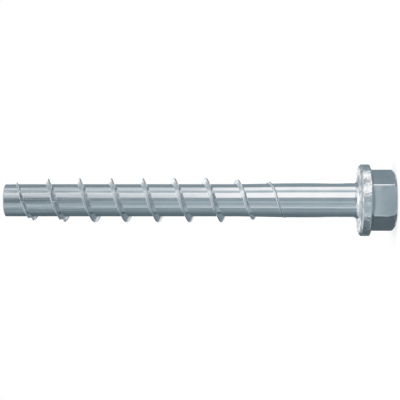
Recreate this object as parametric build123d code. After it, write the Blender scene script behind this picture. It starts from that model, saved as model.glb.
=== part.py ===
from build123d import *
import math
import os

os.makedirs("parts", exist_ok=True)

# Millimetres. The screw stands on its hex head: Z = 0 is the end face of the head,
# +Z runs along the axis to the tip, and two hex corners lie on the X axis.

# Driving sizes of the head
across_flats = 15.0
head_height = 10.0
hex_edge_radius = 0.3
hex_chamfer_angle = 30.0
end_face_share = 0.995
flange_diameter = 20.2
rim_depth = 2.65
rim_bevel_width = 0.65
rim_bevel_depth = 0.35
cone_angle = 21.0

# Driving sizes of the locking ribs under the flange
rib_count = 12
rib_height = 0.62
rib_width = 1.9
rib_circle_gap = 0.17

# Driving sizes of the shank and core
under_head_length = 100.0
shank_diameter = 9.65
core_diameter = 9.12
neck_fillet_radius = 1.9
taper_end_distance = 19.0
taper_length = 15.2
tip_edge = 0.2

# Driving sizes of the thread
thread_diameter = 12.4
thread_pitch = 8.93
crest_width = 0.28
flank_angle = 24.0
thread_tip_gap = 0.8
run_in_length = 15.0
run_in_power = 2.2
run_out_end_distance = 17.4
run_out_length = 21.5
crest_phase_distance = 61.08
thread_bury = 0.08
root_bury = 0.45

# Driving sizes of the notches between the cutting teeth
notch_spacing_angle = 90.0
notch_phase_angle = 267.0
notch_depth = 0.92
notch_face_angle = 25.0
notched_length = 16.5

# Points on each thread edge in one turn
steps_per_turn = 12

# Radii and heights that follow from the driving sizes
flange_r = flange_diameter / 2
shank_r = shank_diameter / 2
neck_r = shank_r + neck_fillet_radius
rib_circle_r = neck_r + rib_circle_gap
core_r = core_diameter / 2
thread_r = thread_diameter / 2
bearing_z = head_height
rim_z = bearing_z - rim_depth
bevel_z = bearing_z - rim_bevel_depth
tip_z = bearing_z + under_head_length
taper_low_z = bearing_z + taper_end_distance
taper_high_z = taper_low_z + taper_length
thread_low_z = bearing_z + run_out_end_distance
thread_high_z = tip_z - thread_tip_gap
crest_phase_z = bearing_z + crest_phase_distance
flank_slope = math.tan(math.radians(flank_angle))


def turned(points):
    """A solid of revolution about Z from a closed outline of radius and height."""
    outline = make_face(Polyline([(r, 0, z) for r, z in points], close=True))
    return revolve(outline, Axis.Z)


def hex_head():
    """The hex with rounded upright edges and a cone turned on its end."""
    hex_plan = RegularPolygon(across_flats / 2, 6, major_radius=False)
    hex_plan = fillet(hex_plan.vertices(), hex_edge_radius)
    prism = extrude(hex_plan, rim_z)
    end_r = across_flats / 2 * end_face_share
    outer_r = across_flats / 2 / math.cos(math.radians(30)) + hex_edge_radius
    chamfer_z = (outer_r - end_r) * math.tan(math.radians(hex_chamfer_angle))
    chamfer_cone = turned(
        [
            (0, 0),
            (end_r, 0),
            (outer_r, chamfer_z),
            (outer_r, rim_z),
            (0, rim_z),
        ]
    )
    return prism & chamfer_cone


def flange():
    """The flange: bevelled at the bearing side and conical toward the hex."""
    inner_r = across_flats / 2 * math.cos(math.radians(30))
    cone_drop = (flange_r - inner_r) * math.tan(math.radians(cone_angle))
    return turned(
        [
            (0, bearing_z),
            (flange_r - rim_bevel_width, bearing_z),
            (flange_r, bevel_z),
            (flange_r, rim_z),
            (inner_r, rim_z - cone_drop),
            (0, rim_z - cone_drop),
        ]
    )


def body_radius(z):
    """The radius of the core, taper or shank at a height."""
    share = (taper_high_z - z) / taper_length
    share = min(max(share, 0.0), 1.0)
    return core_r + (shank_r - core_r) * share


def shank_and_core():
    """The round body from the flange to the tip, with the fillet at its neck."""
    neck_z = bearing_z + neck_fillet_radius
    diagonal = neck_fillet_radius * math.cos(math.radians(45))
    fillet_arc = ThreePointArc(
        (neck_r, 0, bearing_z),
        (neck_r - diagonal, 0, neck_z - diagonal),
        (shank_r, 0, neck_z),
    )
    rest = Polyline(
        (shank_r, 0, neck_z),
        (shank_r, 0, taper_low_z),
        (core_r, 0, taper_high_z),
        (core_r, 0, tip_z - tip_edge),
        (core_r - tip_edge, 0, tip_z),
        (0, 0, tip_z),
        (0, 0, bevel_z),
        (neck_r, 0, bevel_z),
        (neck_r, 0, bearing_z),
    )
    return revolve(make_face([fillet_arc, rest]), Axis.Z)


def locking_rib():
    """One ratchet rib: a ramp round the axis that ends in a steep face."""
    half = rib_width / 2
    profile = Polyline(
        (shank_r, -half, bevel_z),
        (shank_r, -half, bearing_z + rib_height),
        (shank_r, half, bearing_z),
        (shank_r, half, bevel_z),
        close=True,
    )
    bar = extrude(make_face(profile), rib_circle_r, dir=(1, 0, 0))
    return bar & Pos(0, 0, bearing_z) * Cylinder(rib_circle_r, 2 * rib_width)


def crest_radius(z):
    """The outer radius of the thread where its middle line is at a height."""
    from_tip = (thread_high_z - z) / run_in_length
    from_end = (z - thread_low_z) / run_out_length
    rise = 1 - (1 - min(max(from_tip, 0.0), 1.0)) ** run_in_power
    fall = min(max(from_end, 0.0), 1.0)
    base = body_radius(z) - thread_bury
    return base + (thread_r - base) * min(rise, fall)


def thread_section(turn):
    """The corners of the thread's cross-section after a number of turns."""
    z = crest_phase_z + turn * thread_pitch
    crest = crest_radius(z)
    inner = core_r - root_bury
    crest_half = crest_width / 2
    inner_half = crest_half + (crest - inner) * flank_slope
    angle = 2 * math.pi * turn
    corners = [
        (inner, -inner_half),
        (crest, -crest_half),
        (crest, crest_half),
        (inner, inner_half),
    ]
    return [
        Vector(r * math.cos(angle), r * math.sin(angle), z + offset)
        for r, offset in corners
    ]


def thread_edges(first, last):
    """The long edges of the thread between two numbers of turns."""
    count = max(3, math.ceil((last - first) * steps_per_turn))
    turns = [first + (last - first) * i / count for i in range(count + 1)]
    sections = [thread_section(turn) for turn in turns]
    nudge = 0.0005
    edges = []
    for corner, points in enumerate(zip(*sections)):
        ends = []
        for turn in (first, last):
            before = thread_section(turn - nudge)[corner]
            after = thread_section(turn + nudge)[corner]
            ends.append((after - before) / (2 * nudge))
        edge = Edge.make_spline(points, ends, parameters=turns, scale=False)
        edges.append(edge)
    return edges


def thread_ridge():
    """The whole thread as one solid, its root inside the core."""
    first = (thread_low_z - crest_phase_z) / thread_pitch
    last = (thread_high_z - crest_phase_z) / thread_pitch
    pieces = math.ceil(last - first)
    marks = [first + (last - first) * i / pieces for i in range(pieces + 1)]
    faces = []
    for start, end in zip(marks[:-1], marks[1:]):
        edges = thread_edges(start, end)
        for one, other in zip(edges, edges[1:] + edges[:1]):
            faces.append(Face.make_surface_from_curves(one, other))
    for turn in (first, last):
        faces.append(Face(Wire.make_polygon(thread_section(turn), close=True)))
    return Solid(Shell(faces))


def notch(turn):
    """The cutter for one notch: a flat ramp that falls to a steep cutting face."""
    z = crest_phase_z + turn * thread_pitch
    floor = max(crest_radius(z) - notch_depth, core_r + thread_bury)
    reach = thread_r
    lean = reach * math.tan(math.radians(notch_face_angle))
    half = thread_pitch / 3
    corners = [
        (floor, 0, z - half),
        (floor, reach, z - half),
        (floor + reach, reach, z - half),
        (floor + reach, -lean, z - half),
    ]
    plan = make_face(Polyline(corners, close=True))
    return Rot(0, 0, 360 * turn) * extrude(plan, 2 * half, dir=(0, 0, 1))


def notch_turns():
    """The numbers of turns at which notches cut the first turns of thread."""
    step = notch_spacing_angle / 360
    phase = notch_phase_angle / 360
    last = (thread_high_z - crest_phase_z) / thread_pitch
    first = last - notched_length / thread_pitch
    number = math.ceil((first - phase) / step)
    turns = []
    while phase + number * step < last:
        turns.append(phase + number * step)
        number += 1
    return turns


# Thread with its cutting teeth
thread = thread_ridge()
for at_turn in notch_turns():
    thread = thread - notch(at_turn)

# Head, flange, ribs, shank and thread joined in one solid
ribs = PolarLocations(0, rib_count) * locking_rib()
screw = shank_and_core() + flange() + hex_head() + ribs
screw = screw + thread
concrete_screw = screw.solids()[0]
concrete_screw.label = "concrete_screw"
export_step(concrete_screw, "parts/concrete_screw.step")
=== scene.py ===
import math

import bpy
from mathutils import Matrix, Vector

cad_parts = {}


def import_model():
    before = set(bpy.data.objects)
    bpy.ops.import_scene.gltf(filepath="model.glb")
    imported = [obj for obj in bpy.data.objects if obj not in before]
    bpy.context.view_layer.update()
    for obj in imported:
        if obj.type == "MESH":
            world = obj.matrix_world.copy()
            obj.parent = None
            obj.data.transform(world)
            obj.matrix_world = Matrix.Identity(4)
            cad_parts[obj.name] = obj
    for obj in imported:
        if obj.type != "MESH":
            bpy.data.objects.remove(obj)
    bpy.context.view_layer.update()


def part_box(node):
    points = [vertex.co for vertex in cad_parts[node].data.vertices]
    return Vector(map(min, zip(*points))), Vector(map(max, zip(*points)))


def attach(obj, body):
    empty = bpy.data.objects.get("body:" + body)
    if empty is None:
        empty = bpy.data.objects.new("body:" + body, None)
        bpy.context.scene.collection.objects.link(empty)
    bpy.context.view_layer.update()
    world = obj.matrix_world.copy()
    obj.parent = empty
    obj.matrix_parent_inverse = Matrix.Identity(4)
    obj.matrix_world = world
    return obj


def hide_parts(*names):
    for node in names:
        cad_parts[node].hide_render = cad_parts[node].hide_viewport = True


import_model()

# Sizes are millimetres and degrees in the frame: Z = 0 is the head's end face, +Z runs to the tip
MM = 0.001
NODE = "concrete_screw"

# Head and flange
across_flats = 15.0
hex_edge_radius = 0.3
hex_chamfer_angle = 30.0
end_face_share = 0.995
head_height = 10.0
flange_diameter = 20.2
rim_depth = 2.65
rim_bevel_width = 0.65
rim_bevel_depth = 0.35
cone_angle = 21.0

# Locking ribs and neck
rib_count = 12
rib_height = 0.62
rib_width = 1.9
rib_circle_gap = 0.17
neck_fillet_radius = 1.9

# Fine radial ridges pressed into the bearing face outside the ribs
fine_ridge_count = 20
fine_ridge_height = 0.32
fine_ridge_inner_r = 7.05

# Shank and core
shank_diameter = 9.65
core_diameter = 9.12
taper_end_distance = 19.0
taper_length = 15.2
tip_edge = 0.2

# Thread
thread_diameter = 12.4
thread_pitch = 8.93
crest_width = 0.28
flank_angle = 24.0
thread_tip_gap = 0.8
run_in_length = 15.0
run_in_power = 2.2
run_out_end_distance = 17.4
run_out_length = 21.5
crest_phase_distance = 61.08
thread_bury = 0.08

# Notches between the cutting teeth
notch_spacing_angle = 90.0
notch_phase_angle = 267.0
notch_depth = 0.92
notch_face_angle = 25.0
notched_length = 16.5

# Fall of the head's end face over its outer ring
crown_width = 0.8
crown_drop = 0.15

# Small roundings of the edges, and the curved root of the thread
end_rounding = 1.0
chamfer_rounding = 0.95
hex_root_rounding = 0.4
rim_rounding = 0.32
bevel_rounding = 0.14
crest_rounding = 0.12
root_rounding = 0.18
tip_rounding = 0.1

# Steps along each rounding, and the points that a rounded corner gets
rounding_steps = 3
points_per_corner = rounding_steps + 3

# Where a point past each end of a rounding keeps the side flat, and the most of a side it takes
rounding_lead = 1.2
rounding_share = 0.4

# Fineness of the mesh, and the angle from which an edge is shaded sharp
column_step = 3.0
column_gap = 0.2
fillet_low_steps = 4
fillet_high_steps = 5
welds_per_mm = 20000
sharp_angle = 28.0

# What counts as nothing in a length or a share
tiny = 1e-9

# Radii and heights that follow from the sizes
flange_r = flange_diameter / 2
shank_r = shank_diameter / 2
core_r = core_diameter / 2
thread_r = thread_diameter / 2
neck_r = shank_r + neck_fillet_radius
rib_circle_r = neck_r + rib_circle_gap
end_r = across_flats / 2 * end_face_share
tip_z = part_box(NODE)[1].z / MM
bearing_z = head_height
rim_z = bearing_z - rim_depth
bevel_z = bearing_z - rim_bevel_depth
neck_z = bearing_z + neck_fillet_radius
taper_low_z = bearing_z + taper_end_distance
taper_high_z = taper_low_z + taper_length
thread_low_z = bearing_z + run_out_end_distance
thread_high_z = tip_z - thread_tip_gap
crest_phase_z = bearing_z + crest_phase_distance
body_end_z = tip_z - tip_edge

# Slopes, and angles in radians, that follow from the sizes
half_hex = math.radians(30)
edge_centre_r = (across_flats / 2 - hex_edge_radius) / math.cos(half_hex)
edge_round_angle = math.atan2(
    hex_edge_radius * math.sin(half_hex),
    edge_centre_r + hex_edge_radius * math.cos(half_hex),
)
rib_meet = math.acos(1 - rib_height / neck_fillet_radius)
rib_inner_r = neck_r - neck_fillet_radius * math.sin(rib_meet)
flank_slope = math.tan(math.radians(flank_angle))
notch_face_slope = math.tan(math.radians(notch_face_angle))

# How far round a notch cuts the thread, on its ramp's side and on its steep face's side
notch_ramp_span = math.radians(60)
notch_face_span = math.radians(20)

# The slope of a ray from the axis past which the steep face is out of reach
notch_face_limit = notch_face_slope * 0.95


def clamped(value, low, high):
    """A value held between two limits."""
    return min(max(value, low), high)


def polar(r, angle, z):
    """The point at a radius, an angle in radians and a height."""
    return (r * math.cos(angle), r * math.sin(angle), z)


def rounded(corners, radii):
    """An outline whose inner corners are rounded, each with as many points."""
    points = [corners[0]]
    for before, corner, after, radius in zip(corners, corners[1:], corners[2:], radii):
        back = (before[0] - corner[0], before[1] - corner[1])
        ahead = (after[0] - corner[0], after[1] - corner[1])
        back_length = math.hypot(*back)
        ahead_length = math.hypot(*ahead)
        shortest = min(back_length, ahead_length)
        if shortest < tiny:
            points += [corner] * points_per_corner
            continue
        cosine = (back[0] * ahead[0] + back[1] * ahead[1]) / (back_length * ahead_length)
        half = math.acos(clamped(cosine, -1.0, 1.0)) / 2
        reach = min(radius / max(math.tan(half), tiny), shortest * rounding_share)
        places = [(rounding_lead, 0.0)]
        for i in range(rounding_steps + 1):
            share = i / rounding_steps
            places.append(((1 - share) ** 2, share**2))
        places.append((0.0, rounding_lead))
        for towards_back, towards_ahead in places:
            from_back = towards_back * reach / back_length
            from_ahead = towards_ahead * reach / ahead_length
            points.append(
                (
                    corner[0] + back[0] * from_back + ahead[0] * from_ahead,
                    corner[1] + back[1] * from_back + ahead[1] * from_ahead,
                )
            )
    points.append(corners[-1])
    return points


def hex_radius(angle):
    """The radius of the rounded hex at an angle; its corners lie on multiples of 60 degrees."""
    from_corner = abs((angle + half_hex) % (2 * half_hex) - half_hex)
    across = edge_centre_r * math.sin(from_corner)
    if across < hex_edge_radius and from_corner < edge_round_angle:
        out = math.sqrt(hex_edge_radius**2 - across**2)
        return edge_centre_r * math.cos(from_corner) + out
    return across_flats / 2 / math.cos(half_hex - from_corner)


def rib_place(angle):
    """The nearest rib's angle and the angle from it."""
    step = 2 * math.pi / rib_count
    middle = round(angle / step) * step
    return middle, angle - middle


def rib_edge_angle(radius):
    """The angle from a rib's middle to its side, at a radius."""
    return math.asin(rib_width / 2 / radius)


def rib_rise(angle, side):
    """How far the rib stands above the bearing face.

    Two columns share the angle of a steep face: side is -1 at its foot, 1 at its top, else 0.
    """
    _, off = rib_place(angle)
    across = rib_circle_r * math.sin(off) / (rib_width / 2)
    if across > 1 or across < -1 - tiny or (across < -1 + tiny and side < 0):
        return 0.0
    return rib_height * (1 - across) / 2


def rib_turned(angle, radius):
    """An angle moved so that the ribs keep their width towards the axis."""
    share = min((radius - shank_r) / (rib_inner_r - shank_r), 1.0)
    middle, off = rib_place(angle)
    half_step = math.pi / rib_count
    edge = rib_edge_angle(rib_circle_r)
    moved_edge = rib_edge_angle(radius)
    if abs(off) <= edge:
        moved = math.asin(clamped(rib_circle_r * math.sin(off) / radius, -1.0, 1.0))
    else:
        beyond = (abs(off) - edge) / (half_step - edge)
        moved = math.copysign(moved_edge + beyond * (half_step - moved_edge), off)
    return middle + off + (moved - off) * share


def fine_ridge_rise(angle):
    """How far the fine ridges stand above the bearing face at an angle."""
    share = angle / (2 * math.pi) * fine_ridge_count % 1
    return fine_ridge_height * abs(1 - 2 * share)


def head_rows(angle, side):
    """The points of the head, flange, ribs and neck at one angle, from the end face up."""
    hex_r = hex_radius(angle)
    chamfer_z = (hex_r - end_r) * math.tan(math.radians(hex_chamfer_angle))
    cone_z = rim_z - (flange_r - hex_r) * math.tan(math.radians(cone_angle))
    face_z = bearing_z + fine_ridge_rise(angle)
    corners = [
        (end_r / 2, 0.0),
        (end_r - crown_width, 0.0),
        (end_r, crown_drop),
        (hex_r, crown_drop + chamfer_z),
        (hex_r, cone_z),
        (flange_r, rim_z),
        (flange_r, bevel_z),
        (flange_r - rim_bevel_width, face_z),
        (fine_ridge_inner_r, face_z),
    ]
    radii = [
        end_rounding,
        end_rounding,
        chamfer_rounding,
        hex_root_rounding,
        rim_rounding,
        bevel_rounding,
        bevel_rounding,
    ]
    outline = rounded(corners, radii)

    # The rib, and the neck's fillet where it meets the rib and above
    rise = rib_rise(angle, side)
    outline.append((rib_circle_r, bearing_z))
    outline.append((rib_circle_r, bearing_z + rise))
    meet = math.acos(1 - rise / neck_fillet_radius)
    arcs = []
    for i in range(fillet_low_steps + 1):
        arcs.append(meet + (rib_meet - meet) * i / fillet_low_steps)
    for i in range(1, fillet_high_steps + 1):
        arcs.append(rib_meet + (math.pi / 2 - rib_meet) * i / fillet_high_steps)
    for arc in arcs:
        r = neck_r - neck_fillet_radius * math.sin(arc)
        z = neck_z - neck_fillet_radius * math.cos(arc)
        outline.append((r, z))

    points = []
    for r, z in outline:
        turned = rib_turned(angle, r) if z > bevel_z and r <= rib_circle_r else angle
        points.append(polar(r, turned, z))
    return points


# The row where the forged skin starts: halfway round the fifth inner corner, the rim's
rim_corner = 5
forged_row = rim_corner * points_per_corner - points_per_corner // 2


def body_radius(z):
    """The radius of the core, taper or shank at a height."""
    share = (taper_high_z - z) / (taper_high_z - taper_low_z)
    return core_r + (shank_r - core_r) * clamped(share, 0.0, 1.0)


def crest_radius(z):
    """The outer radius of the thread where its middle line is at a height."""
    from_tip = clamped((thread_high_z - z) / run_in_length, 0.0, 1.0)
    from_end = clamped((z - thread_low_z) / run_out_length, 0.0, 1.0)
    base = body_radius(z) - thread_bury
    return base + (thread_r - base) * min(1 - (1 - from_tip) ** run_in_power, from_end)


def notch_turns():
    """The numbers of turns, from the phase height, at which notches cut the thread."""
    spacing = notch_spacing_angle / 360
    phase = notch_phase_angle / 360
    last = (thread_high_z - crest_phase_z) / thread_pitch
    first = last - notched_length / thread_pitch
    number = math.ceil((first - phase) / spacing)
    turns = []
    while phase + number * spacing < last:
        turns.append(phase + number * spacing)
        number += 1
    return turns


def notch_floor(turn):
    """The distance from the axis of a notch's flat ramp."""
    crest = crest_radius(crest_phase_z + turn * thread_pitch)
    return max(crest - notch_depth, core_r + thread_bury)


NOTCHES = [(turn, notch_floor(turn)) for turn in notch_turns()]


def cut_radius(turn):
    """The radius that the notches leave to the thread after a number of turns."""
    left = math.inf
    for notch, ramp_r in NOTCHES:
        angle = 2 * math.pi * (turn - notch)
        if 0 <= angle < notch_ramp_span:
            left = min(left, ramp_r / math.cos(angle))
        elif -notch_face_span < angle < 0:
            slope = -math.tan(angle)
            if slope < notch_face_limit:
                along = ramp_r * slope / (notch_face_slope - slope)
                left = min(left, math.hypot(ramp_r + along, along * notch_face_slope))
    return left


def thread_outline(turn):
    """One pitch of the thread's section: offsets along Z, and heights above the core or shank."""
    z = crest_phase_z + turn * thread_pitch
    body = body_radius(z)
    crest = max(crest_radius(z), body)
    top = max(min(crest, cut_radius(turn)), body)
    top_half = crest_width / 2 + (crest - top) * flank_slope
    base_half = crest_width / 2 + (crest - body) * flank_slope
    corners = [
        (-thread_pitch / 2, 0.0),
        (-base_half, 0.0),
        (-top_half, top - body),
        (top_half, top - body),
        (base_half, 0.0),
        (thread_pitch / 2, 0.0),
    ]
    radii = [root_rounding, crest_rounding, crest_rounding, root_rounding]
    return rounded(corners, radii)[:-1]


# Rows of points in a turn, and the first and last turns whose rows reach the body
ROWS_PER_TURN = len(thread_outline(0.0))
FIRST_TURN = math.floor((neck_z - crest_phase_z) / thread_pitch - 1.5)
LAST_TURN = math.ceil((body_end_z - crest_phase_z) / thread_pitch + 0.5)


def body_rows(angle):
    """The points of the shank, core and thread at one angle, from the neck to the tip."""
    points = []
    half_pitch = thread_pitch / 2
    for whole in range(FIRST_TURN, LAST_TURN + 1):
        turn = whole + angle / (2 * math.pi)
        middle = crest_phase_z + turn * thread_pitch
        if middle < neck_z - half_pitch or middle > body_end_z + half_pitch:
            outline = [(middle, 0.0)] * ROWS_PER_TURN
        else:
            outline = [(middle + offset, rise) for offset, rise in thread_outline(turn)]
        for z, rise in outline:
            z = clamped(z, neck_z, body_end_z)
            points.append(polar(body_radius(z) + rise, angle, z))
    return points


def tip_rows(angle):
    """The points of the tip's edge and end face at one angle."""
    corners = [
        (core_r, body_end_z),
        (core_r - tip_edge, tip_z),
        (core_r / 2, tip_z),
    ]
    return [polar(r, angle, z) for r, z in rounded(corners, [tip_rounding])]


def whole_turn(degrees):
    """An angle brought into one turn, and rounded so that equal angles match."""
    return round(degrees % 360, 6)


def column_angles():
    """The angles of the mesh's columns, with more at the hex edges, ribs and notches."""
    places = {whole_turn(i * column_step) for i in range(round(360 / column_step))}
    edge_round = math.degrees(edge_round_angle)
    for corner in range(0, 360, 60):
        for share in (-1.0, -0.5, 0.5, 1.0):
            places.add(whole_turn(corner + share * edge_round))
    for turn, ramp_r in NOTCHES:
        crest = crest_radius(crest_phase_z + turn * thread_pitch)
        ramp = math.degrees(math.acos(min(1.0, ramp_r / crest)))
        along = crest - ramp_r
        face = math.degrees(math.atan2(along * notch_face_slope, crest))
        for off in (-face, -face / 2, 0.0, ramp):
            places.add(whole_turn(turn * 360 + off))
    steep = math.degrees(rib_edge_angle(rib_circle_r))
    columns = []
    for rib in range(rib_count):
        middle = 360 * rib / rib_count
        places.add(whole_turn(middle + steep))
        at = (middle - steep) % 360
        places = {place for place in places if abs(place - at) > column_gap}
        columns += [(math.radians(at), -1), (math.radians(at), 1)]
    columns += [(math.radians(place), 0) for place in places]
    return sorted(columns)


class Shell:
    """The points and faces of one mesh, where points that meet become one."""

    def __init__(self):
        self.points = []
        self.faces = []
        self.rows = []
        self.index = {}
        self.seen = set()

    def vertex(self, point):
        """The number of a point, in millimetres, which is added if it is new."""
        key = tuple(round(c * welds_per_mm) for c in point)
        if key not in self.index:
            self.index[key] = len(self.points)
            self.points.append([c * MM for c in point])
        return self.index[key]

    def face(self, corners, row):
        """Adds a face and the row it lies in, unless its corners have met or it is there."""
        kept = list(dict.fromkeys(corners))
        if len(kept) > 2 and frozenset(kept) not in self.seen:
            self.seen.add(frozenset(kept))
            self.faces.append(kept)
            self.rows.append(row)


HEAD_END = len(head_rows(0.0, 0))
BODY_END = HEAD_END + len(body_rows(0.0))


def screw_shell():
    """The whole screw as columns of points from the end face to the tip, joined all round."""
    shell = Shell()
    grid = []
    for angle, side in column_angles():
        column = head_rows(angle, side) + body_rows(angle) + tip_rows(angle)
        grid.append([shell.vertex(point) for point in column])
    end_middle = shell.vertex((0, 0, 0))
    tip_middle = shell.vertex((0, 0, tip_z))
    rows = len(grid[0])
    for i, here in enumerate(grid):
        # Past the last column the thread has climbed one turn, so its rows join a turn further on
        seam = i == len(grid) - 1
        there = grid[0] if seam else grid[i + 1]
        shift = ROWS_PER_TURN if seam else 0
        for row in range(rows - 1):
            low, high = row, row + 1
            if HEAD_END <= low < BODY_END:
                low = min(low + shift, BODY_END - 1)
            if HEAD_END <= high < BODY_END:
                high = min(high + shift, BODY_END - 1)
            shell.face([here[row], there[low], there[high], here[row + 1]], row)
        shell.face([end_middle, there[0], here[0]], 0)
        shell.face([tip_middle, here[-1], there[-1]], rows)
    return shell


shell = screw_shell()
mesh = bpy.data.meshes.new("screw")
mesh.from_pydata(shell.points, [], shell.faces)
mesh.update()
screw = bpy.data.objects.new("screw", mesh)
bpy.context.scene.collection.objects.link(screw)
mesh.shade_smooth()
mesh.set_sharp_from_angle(angle=math.radians(sharp_angle))

# A Mix node's two colour inputs and its colour output
MIX_ONE, MIX_OTHER, MIX_RESULT = 6, 7, 2


class Nodes:
    """Short ways to add and join the nodes of one material."""

    def __init__(self, name):
        self.material = bpy.data.materials.new(name)
        self.material.use_nodes = True
        self.tree = self.material.node_tree
        self.shader = self.tree.nodes["Principled BSDF"]
        self.coords = self.tree.nodes.new("ShaderNodeTexCoord").outputs["Object"]

    def add(self, kind, **sockets):
        """A new node; sockets are its inputs, as values or links."""
        node = self.tree.nodes.new(kind)
        for name, value in sockets.items():
            self.set(node.inputs[name], value)
        return node

    def set(self, socket, value):
        """Links an output to an input, or writes a value there."""
        if isinstance(value, bpy.types.NodeSocket):
            self.tree.links.new(value, socket)
        else:
            socket.default_value = value

    def noise(self, across, along, detail):
        """Noise whose patches are so many millimetres wide and long."""
        mapping = self.add("ShaderNodeMapping", Vector=self.coords)
        mapping.inputs["Scale"].default_value = (
            1 / (across * MM),
            1 / (across * MM),
            1 / (along * MM),
        )
        noise = self.add("ShaderNodeTexNoise", Vector=mapping.outputs[0], Scale=1.0)
        noise.inputs["Detail"].default_value = detail
        return noise.outputs["Fac"]

    def ramp(self, value, low, high, to_low=0.0, to_high=1.0):
        """A value carried smoothly from one range to another and held at its ends."""
        node = self.add("ShaderNodeMapRange", Value=value)
        node.interpolation_type = "SMOOTHSTEP"
        node.inputs["From Min"].default_value = low
        node.inputs["From Max"].default_value = high
        node.inputs["To Min"].default_value = to_low
        node.inputs["To Max"].default_value = to_high
        return node.outputs["Result"]

    def length_ramp(self, value, low, high, to_low=0.0, to_high=1.0):
        """A ramp of a length between two places in millimetres."""
        return self.ramp(value, low * MM, high * MM, to_low, to_high)

    def maths(self, operation, one, other=0.0):
        """One Math node on one or two values."""
        node = self.tree.nodes.new("ShaderNodeMath")
        node.operation = operation
        self.set(node.inputs[0], one)
        self.set(node.inputs[1], other)
        return node.outputs[0]

    def times(self, one, other):
        return self.maths("MULTIPLY", one, other)

    def plus(self, one, other):
        return self.maths("ADD", one, other)

    def blend(self, share, one, other):
        """One colour passing into another."""
        node = self.tree.nodes.new("ShaderNodeMix")
        node.data_type = "RGBA"
        self.set(node.inputs[0], share)
        self.set(node.inputs[MIX_ONE], (*one, 1) if isinstance(one, tuple) else one)
        self.set(node.inputs[MIX_OTHER], (*other, 1))
        return node.outputs[MIX_RESULT]

    def bump(self, height, depth, strength=1.0, below=None):
        """Relief so many millimetres deep, laid over an earlier one."""
        node = self.add("ShaderNodeBump", Height=height, Strength=strength)
        node.inputs["Distance"].default_value = depth * MM
        if below is not None:
            self.tree.links.new(below, node.inputs["Normal"])
        return node.outputs[0]

    def axis_parts(self):
        """The distance from the axis and the height along it, in metres."""
        parts = self.add("ShaderNodeSeparateXYZ", Vector=self.coords)
        x, y, z = parts.outputs
        squares = self.plus(self.times(x, x), self.times(y, y))
        return self.maths("SQRT", squares), z

    def finish(self, colour, roughness, normal):
        """The material as bare metal with these surfaces."""
        self.shader.inputs["Metallic"].default_value = 1.0
        self.set(self.shader.inputs["Base Color"], colour)
        self.set(self.shader.inputs["Roughness"], roughness)
        self.set(self.shader.inputs["Normal"], normal)
        return self.material


# Colours of the zinc, of the metal where it is scored, of a painted highlight and of painted
# shade
ZINC = (0.66, 0.70, 0.72)
ZINC_PALE = (0.71, 0.74, 0.755)
ZINC_BRIGHT = (0.76, 0.785, 0.795)
PAINTED_HIGHLIGHT = (0.81, 0.83, 0.84)
ZINC_DULL = (0.57, 0.61, 0.635)
PAINTED_SHADE = (0.40, 0.44, 0.465)
SCORED = (0.36, 0.40, 0.425)


def drawn_steel():
    """Shank, core and thread: lines drawn along the axis, duller and rougher to the tip, with
    painted shade on the thread's crest and on its end on the shank.
    """
    made = Nodes("zinc_drawn")
    radius, z = made.axis_parts()
    streaks = made.noise(across=0.45, along=16, detail=4.0)
    hairs = made.noise(across=0.16, along=7, detail=2.0)
    patches = made.noise(across=3.5, along=6, detail=4.0)

    # Places from 0 to 1: towards the tip, on the thread's crest, on the round side, and scored
    # there
    duller_to_tip = made.length_ramp(z, low=35, high=100)
    crest = made.length_ramp(radius, low=thread_r - 0.3, high=thread_r - 0.05)
    on_core = made.length_ramp(radius, low=5.1, high=4.95)
    off_end_face = made.length_ramp(z, low=tip_z - 0.12, high=tip_z - 0.2)
    side = made.times(on_core, off_end_face)
    to_tip = made.length_ramp(z, low=60, high=105)
    scored = made.times(made.ramp(streaks, low=0.56, high=0.4), to_tip)
    scored = made.times(scored, side)

    # The end of the thread on the shank, wherever it stands above the shank, which gets painted
    # shade
    above_shank = made.length_ramp(radius, low=shank_r + 0.04, high=shank_r + 0.2)
    painted_shade_at_end = made.times(above_shank, made.length_ramp(z, low=36, high=31))

    colour = made.blend(made.ramp(patches, low=0.35, high=0.65), ZINC, ZINC_PALE)
    # Darker and duller towards the tip
    colour = made.blend(made.times(duller_to_tip, 0.85), colour, ZINC_DULL)
    colour = made.blend(made.times(scored, 0.45), colour, SCORED)
    # Painted shade: the thread's crest is darkened
    colour = made.blend(made.times(crest, 0.8), colour, PAINTED_SHADE)
    # Painted shade: the thread's end on the shank is darkened
    colour = made.blend(made.times(painted_shade_at_end, 0.8), colour, PAINTED_SHADE)

    roughness = made.ramp(patches, low=0.3, high=0.7, to_low=0.11, to_high=0.17)
    worn = made.ramp(streaks, low=0.35, high=0.65, to_low=0.04, to_high=0.12)
    roughness = made.plus(roughness, made.times(duller_to_tip, worn))
    roughness = made.plus(roughness, made.times(crest, 0.18))

    strength = made.length_ramp(z, low=30, high=100, to_low=0.12, to_high=1.0)
    strength = made.times(strength, made.maths("MAXIMUM", side, 0.25))
    normal = made.bump(streaks, depth=0.03, strength=strength)
    normal = made.bump(hairs, depth=0.006, strength=strength, below=normal)
    return made.finish(colour, roughness, normal)


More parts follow.
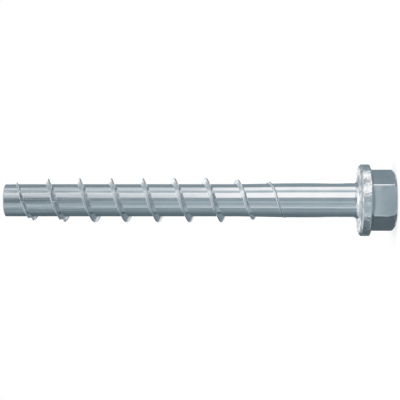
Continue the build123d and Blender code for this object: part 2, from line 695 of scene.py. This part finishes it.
def forged_steel():
    """Rim, bearing face, ribs and neck: the mottled skin that forging leaves under the zinc, with
    a painted highlight on the bearing face and painted shade on its outer ring.
    """
    made = Nodes("zinc_forged")
    radius, z = made.axis_parts()
    dents = made.noise(across=0.8, along=1.1, detail=3.0)
    grain = made.noise(across=0.22, along=0.22, detail=3.0)
    patches = made.noise(across=2.2, along=2.2, detail=4.0)

    # Places from 0 to 1: outside the neck, on the bearing face, and on that face's outer ring
    skin = made.length_ramp(radius, low=shank_r + 0.1, high=neck_r - 0.3)
    bearing = made.times(skin, made.length_ramp(z, low=bevel_z + 0.1, high=bearing_z))
    ring = made.times(bearing, made.length_ramp(radius, low=8.6, high=9.3))

    colour = made.blend(made.ramp(patches, low=0.35, high=0.65), ZINC, ZINC_BRIGHT)
    dented = made.ramp(dents, low=0.45, high=0.25, to_high=0.7)
    colour = made.blend(dented, colour, ZINC_DULL)
    # Painted highlight: the bearing face and what stands on it are made near white
    colour = made.blend(bearing, colour, PAINTED_HIGHLIGHT)
    # Painted shade: the bearing face's outer ring is darkened
    colour = made.blend(made.times(ring, 0.85), colour, PAINTED_SHADE)

    rougher = made.ramp(dents, low=0.3, high=0.7, to_low=0.02, to_high=0.12)
    roughness = made.plus(made.times(skin, rougher), 0.14)
    roughness = made.plus(made.times(bearing, 0.16), roughness)

    normal = made.bump(dents, depth=0.14, strength=skin)
    normal = made.bump(grain, depth=0.016, strength=skin, below=normal)
    return made.finish(colour, roughness, normal)


def pressed_steel():
    """Hex and the cone behind the rim: smooth, with faint lines along the axis from the punch."""
    made = Nodes("zinc_pressed")
    lines = made.noise(across=0.4, along=12, detail=3.0)
    patches = made.noise(across=3, along=3, detail=4.0)
    colour = made.blend(made.ramp(patches, low=0.35, high=0.65), ZINC, ZINC_PALE)
    lined = made.ramp(lines, low=0.4, high=0.25, to_high=0.35)
    colour = made.blend(lined, colour, ZINC_DULL)
    roughness = made.ramp(patches, low=0.3, high=0.7, to_low=0.12, to_high=0.18)
    normal = made.bump(lines, depth=0.01)
    normal = made.bump(patches, depth=0.015, below=normal)
    return made.finish(colour, roughness, normal)


DRAWN, FORGED, PRESSED = range(3)
for material in (drawn_steel(), forged_steel(), pressed_steel()):
    mesh.materials.append(material)
for polygon, row in zip(mesh.polygons, shell.rows):
    if row < forged_row:
        polygon.material_index = PRESSED
    elif row < HEAD_END:
        polygon.material_index = FORGED
    else:
        polygon.material_index = DRAWN
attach(screw, "root")
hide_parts(NODE)


# Studio: cards round the screw that only its reflections see, floor, world and lamp

# Radii of the cards: far ones, two rows just inside, those near the head, and some on the floor
far_r = 300
upper_r = 295
inner_r = 290
near_r = 22
clear_r = 80
foot_r = 8.7
hole_r = 1

# Heights of the cards: over the tip, at the rim, on the floor and under the head
lid_z = 400
lamp_z = lid_z - 1
rim_card_top_z = 9
rim_card_z = 5.4
card_z = 0.1
under_z = -0.01

# Degrees from one fold of a card to the next
card_step = 4

# Dim cards are cool and bright ones nearly neutral
DIM, BRIGHT = 0.2, 1.2
DIM_TINT = (0.78, 1.0, 1.13)
BRIGHT_TINT = (1.03, 1.0, 0.99)


def far(high):
    """The outline of a far card: out along the floor from clear_r, then up to a height."""
    return [(clear_r, card_z), (far_r, card_z), (far_r, high)]


def upright(radius, low, high):
    """The outline of a card that stands at a radius, between two heights."""
    return [(radius, low), (radius, high)]


def level(inner, outer, z=card_z):
    """The outline of a card that lies at a height, on the floor or over the tip."""
    return [(inner, z), (outer, z)]


# Outlines that several cards share
UNDER = level(hole_r, foot_r, under_z)
FOOT = level(foot_r, clear_r)
AT_RIM = upright(near_r, rim_card_z, rim_card_top_z)

# Each card's name, its span of angles from the camera's side towards +X, outline and strength
CARDS = [
    # Far cards, in turn from below the screw in the photograph past the camera to above it
    ("low_dark", -150, -106, far(180), 0.2),
    ("low", -106, -86, far(180), 0.28),
    ("low_pale", -86, -54, far(180), 0.40),
    ("strip_low", -54, -46, far(200), 0.85),
    ("front_low", -46, -30, far(200), 0.60),
    ("front_dim", -30, -19, far(200), 0.48),
    ("strip_front", -19, -6.5, far(200), 0.62),
    ("front", -6.5, 18, far(250), 0.43),
    ("softbox_front", 18, 53, far(300), 1.28),
    ("gap", 53, 71, far(300), 0.62),
    ("softbox_top", 71, 101, far(300), 1.2),
    ("rear", 101, 150, far(300), 0.38),
    # Upright cards above those and behind the screw
    ("low_high", -150, -54, upright(far_r, 180, 300), 0.7),
    ("front_high", -54, 32, upright(far_r, 300, lid_z), 0.8),
    ("rear_edge", 150, 172, upright(far_r, card_z, 160), 0.45),
    ("rear_middle", 172, 188, upright(far_r, card_z, 130), 1.35),
    ("low_edge", 188, 210, upright(far_r, card_z, 175), 0.14),
    ("rear_high", 172, 210, upright(far_r, 200, lid_z), 0.8),
    # Upright cards before the far ones, for the shank and thread, and one more at the top
    ("softbox_front_upper", 18, 44, upright(upper_r, 58, 300), 0.98),
    ("softbox_top_upper", 71, 101, upright(upper_r, 58, 300), 0.93),
    ("front_tip", -18, 21, upright(inner_r, 128, 250), 0.3),
    ("front_low_tip", -50, -28, upright(inner_r, 128, 250), 0.75),
    ("peak_light", 164, 180, upright(inner_r, 165, 265), 1.4),
    ("rear_top", 150, 172, upright(far_r, 330, lid_z), 0.68),
    # Level cards over the tip, which the thread's flanks on the tip's side mirror
    ("lid", 110, 250, level(far_r, hole_r, lid_z), 0.72),
    ("lamp_front", -36, 75, level(30, far_r, lid_z), 1.6),
    ("lamp_rear", 150, 210, level(hole_r, 70, lamp_z), 1.5),
    ("lid_dark", 150, 210, level(120, 240, lamp_z), 0.3),
    # Under the head, where its chamfer would else mirror the white floor, and one for its edge
    ("under_front", -30, 30, UNDER, 0.5),
    ("under_upper", 30, 180, UNDER, 0.36),
    ("under_lower", 180, 330, UNDER, 0.18),
    ("foot_edge", 31, 54, level(9.2, 21, 0.12), 1.35),
    # Dim floor before each side of the hex, which also keeps the thread's lower flanks dark
    ("foot_front", -30, 30, level(foot_r, 48), 0.45),
    ("foot_upper", 30, 150, FOOT, 0.34),
    ("foot_rear", 150, 163, FOOT, 0.34),
    ("foot_rear_middle", 163, 178, FOOT, 0.45),
    ("foot_rear_pale", 178, 188, FOOT, 0.52),
    ("foot_rear_low", 188, 210, FOOT, 0.33),
    ("foot_side", 210, 230, level(foot_r, 24), 0.16),
    ("foot_lower", 230, 263, FOOT, 0.16),
    ("foot_low", 263, 330, level(foot_r, 24), 0.16),
    # The same floor further out
    ("foot_side_far", 210, 230, level(24, clear_r), 0.48),
    ("foot_front_far", -30, 30, level(48, clear_r), 0.62),
    ("foot_low_far", 263, 330, level(24, clear_r), 0.72),
    ("foot_rear_far", 150, 186, level(clear_r, 170), 0.34),
    ("foot_rear_side", 186, 210, level(clear_r, 119), 0.34),
    ("foot_rear_edge", 186, 210, level(119, 280), 1.0),
    # Close to the head: the first lights the hex edge, the others the rim of the flange
    ("edge_light", 14, 80, upright(near_r, card_z, rim_card_z), 1.35),
    ("rim_top", 56, 82, AT_RIM, 1.2),
    ("rim_gap", 42, 56, AT_RIM, 0.2),
    ("rim_front", 19, 41, AT_RIM, 1.15),
    ("rim_strip", -11, -6.5, upright(near_r, 5.8, rim_card_top_z), 1.05),
    ("rim_low", -36, -18, AT_RIM, 0.52),
    ("rim_strip_low", -42, -36, AT_RIM, 1.1),
    ("rim_dark", -70, -42, AT_RIM, 0.2),
    ("rim_darkest", -130, -70, AT_RIM, 0.16),
]


def tint(strength):
    """The colour of a card's light."""
    share = clamped((strength - DIM) / (BRIGHT - DIM), 0.0, 1.0)
    return [dim + (bright - dim) * share for dim, bright in zip(DIM_TINT, BRIGHT_TINT)]


def emission(name, colour, strength):
    """A material that only glows."""
    material = bpy.data.materials.new(name)
    material.use_nodes = True
    tree = material.node_tree
    tree.nodes.clear()
    glow = tree.nodes.new("ShaderNodeEmission")
    glow.inputs["Color"].default_value = (*colour, 1)
    glow.inputs["Strength"].default_value = strength
    out = tree.nodes.new("ShaderNodeOutputMaterial")
    tree.links.new(glow.outputs["Emission"], out.inputs["Surface"])
    return material


def card(name, start, end, outline, strength):
    """A card bent round the screw: an outline of radii and heights over a span of angles."""
    steps = max(2, round(abs(end - start) / card_step))
    points = []
    for i in range(steps + 1):
        angle = math.radians(start + (end - start) * i / steps)
        across, away = math.sin(angle) * MM, -math.cos(angle) * MM
        points += [(r * across, r * away, z * MM) for r, z in outline]
    quads = []
    for i in range(steps):
        for j in range(len(outline) - 1):
            before = len(outline) * i + j
            here = before + len(outline)
            quads.append((before, here, here + 1, before + 1))
    shape = bpy.data.meshes.new(name)
    shape.from_pydata(points, [], quads)
    shape.materials.append(emission(name, tint(strength), strength))
    panel = bpy.data.objects.new(name, shape)
    bpy.context.scene.collection.objects.link(panel)
    panel.visible_camera = False
    panel.visible_diffuse = False
    panel.visible_shadow = False


def lit_and_shown(tree, lit, shown, out_kind):
    """One shader that lights the screw, and another for the camera, gloss and glass."""
    path = tree.nodes.new("ShaderNodeLightPath")
    share = path.outputs["Is Camera Ray"]
    for ray in ("Is Glossy Ray", "Is Transmission Ray"):
        either = tree.nodes.new("ShaderNodeMath")
        either.operation = "MAXIMUM"
        tree.links.new(share, either.inputs[0])
        tree.links.new(path.outputs[ray], either.inputs[1])
        share = either.outputs[0]
    mix = tree.nodes.new("ShaderNodeMixShader")
    tree.links.new(share, mix.inputs[0])
    tree.links.new(lit.outputs[0], mix.inputs[1])
    tree.links.new(shown.outputs[0], mix.inputs[2])
    out = tree.nodes.new(out_kind)
    tree.links.new(mix.outputs[0], out.inputs["Surface"])


def floor():
    """A pale floor just below the cards that lie on it: it is seen white, with shadows."""
    half_width = 20.0
    z = -0.02 * MM
    grey = (0.5, 0.5, 0.5, 1)
    to_white = 0.66
    shape = bpy.data.meshes.new("floor")
    shape.from_pydata(
        [
            (-half_width, -half_width, z),
            (half_width, -half_width, z),
            (half_width, half_width, z),
            (-half_width, half_width, z),
        ],
        [],
        [(0, 1, 2, 3)],
    )
    material = bpy.data.materials.new("floor")
    material.use_nodes = True
    tree = material.node_tree
    tree.nodes.clear()
    diffuse = tree.nodes.new("ShaderNodeBsdfDiffuse")
    diffuse.inputs["Color"].default_value = grey
    glow = tree.nodes.new("ShaderNodeEmission")
    glow.inputs["Strength"].default_value = to_white
    added = tree.nodes.new("ShaderNodeAddShader")
    tree.links.new(diffuse.outputs[0], added.inputs[0])
    tree.links.new(glow.outputs[0], added.inputs[1])
    lit_and_shown(tree, diffuse, added, "ShaderNodeOutputMaterial")
    shape.materials.append(material)
    plane = bpy.data.objects.new("floor", shape)
    bpy.context.scene.collection.objects.link(plane)


def world():
    """A soft white surround, seen at full white."""
    made = bpy.data.worlds.new("studio")
    bpy.context.scene.world = made
    made.use_nodes = True
    tree = made.node_tree
    tree.nodes.clear()
    backgrounds = []
    for strength in (0.5, 1.0):
        background = tree.nodes.new("ShaderNodeBackground")
        background.inputs["Color"].default_value = (1, 1, 1, 1)
        background.inputs["Strength"].default_value = strength
        backgrounds.append(background)
    lit_and_shown(tree, *backgrounds, "ShaderNodeOutputWorld")


def overhead():
    """One wide soft lamp, nearly overhead, that reflections don't show."""
    light = bpy.data.lights.new("overhead", "SUN")
    light.angle = math.radians(36)
    light.energy = 0.9
    lamp = bpy.data.objects.new("overhead", light)
    bpy.context.scene.collection.objects.link(lamp)
    lamp.visible_glossy = False
    aim = Vector((-0.05, 0.27, -1))
    lamp.rotation_euler = aim.to_track_quat("-Z", "Y").to_euler()


def view():
    """The photograph's camera: abreast of a place on the axis, rolled so that the tip is left."""
    focal_px = 1316.75
    frame_px = 400.0
    sensor_mm = 36.0
    distance = 371.6
    abreast_x = 0.07
    abreast_z = 45.12
    turn_to_tip = math.radians(1.5)
    data = bpy.data.cameras.new("camera")
    data.sensor_width = sensor_mm
    data.lens = sensor_mm * focal_px / frame_px
    camera = bpy.data.objects.new("camera", data)
    bpy.context.scene.collection.objects.link(camera)
    right = Vector((0, math.sin(turn_to_tip), -math.cos(turn_to_tip)))
    up = Vector((1, 0, 0))
    back = right.cross(up)
    camera.matrix_world = Matrix(
        (
            (right.x, up.x, back.x, abreast_x * MM),
            (right.y, up.y, back.y, -distance * MM),
            (right.z, up.z, back.z, abreast_z * MM),
            (0, 0, 0, 1),
        )
    )
    bpy.context.scene.camera = camera


for row in CARDS:
    card(*row)
floor()
world()
overhead()
view()
bpy.context.scene.view_settings.view_transform = "Standard"
